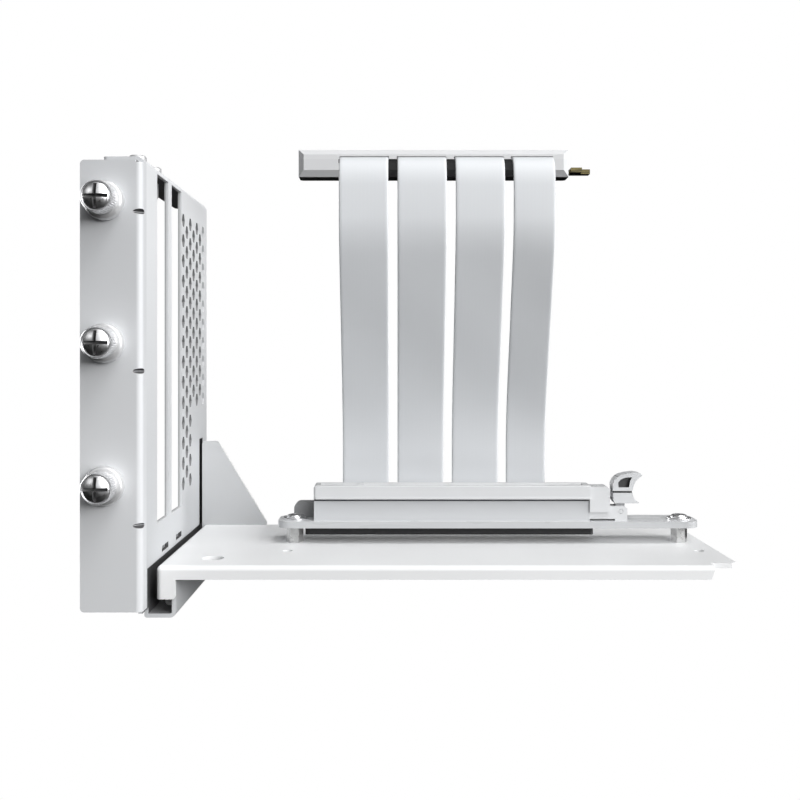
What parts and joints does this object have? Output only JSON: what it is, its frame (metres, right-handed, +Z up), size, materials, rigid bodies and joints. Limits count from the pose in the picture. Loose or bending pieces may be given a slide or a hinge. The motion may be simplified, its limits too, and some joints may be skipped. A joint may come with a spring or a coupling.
{
  "type": "vertical graphics card mount",
  "caption": "White vertical graphics-card mount: slotted cage with case thumbscrews, folded shelf, riser slot with a pivoting latch, and flat cables rising to an edge plug.",
  "frame": {"origin": "axis of the middle case screw on the rear face of the cage's flange", "axes": "+X along the shelf away from the cage, +Y into the case along the case screws, +Z up"},
  "size_m": [0.1929, 0.112, 0.1449],
  "materials": {
    "white_paint": "fine white powder coat, semi-matt",
    "bright_nickel": "bright nickel plate",
    "dull_nickel": "plain nickel plate",
    "white_plastic": "moulded white plastic, satin",
    "white_board": "white solder mask on a circuit board",
    "dark_board": "black solder mask on a circuit board with gilt fingers",
    "black_plastic": "black plastic, satin",
    "grey_plastic": "dark grey potting over the cable ends",
    "contact_metal": "gilt spring contacts",
    "white_cable": "white laminated flat cable, satin"
  },
  "bodies": {
    "mount": {"slot_cage": "white_paint", "case_thumbscrews": "bright_nickel", "bracket_screws": "bright_nickel", "support_shelf": "white_paint", "shelf_screws": "bright_nickel", "board_standoffs": "dull_nickel", "board_screws": "bright_nickel", "riser_board": "white_board", "board_insulator": "black_plastic", "card_slot": "white_plastic", "slot_contacts_front": "contact_metal", "slot_contacts_rear": "contact_metal", "cable_clamp": "grey_plastic", "ribbon_1": "white_cable", "ribbon_2": "white_cable", "ribbon_3": "white_cable", "ribbon_4": "white_cable", "plug_lid": "white_plastic", "plug_base": "white_plastic", "cable_grommet": "black_plastic", "edge_board": "dark_board"},
    "latch": {"slot_latch": "white_plastic"}
  },
  "joints": [
    {"name": "latch_pivot", "type": "hinge", "parent": "mount", "child": "latch", "pos_m": [0.1576, 0.0493, -0.0552], "axis": [0, 1, 0], "range_deg": [0, 28]}
  ]
}
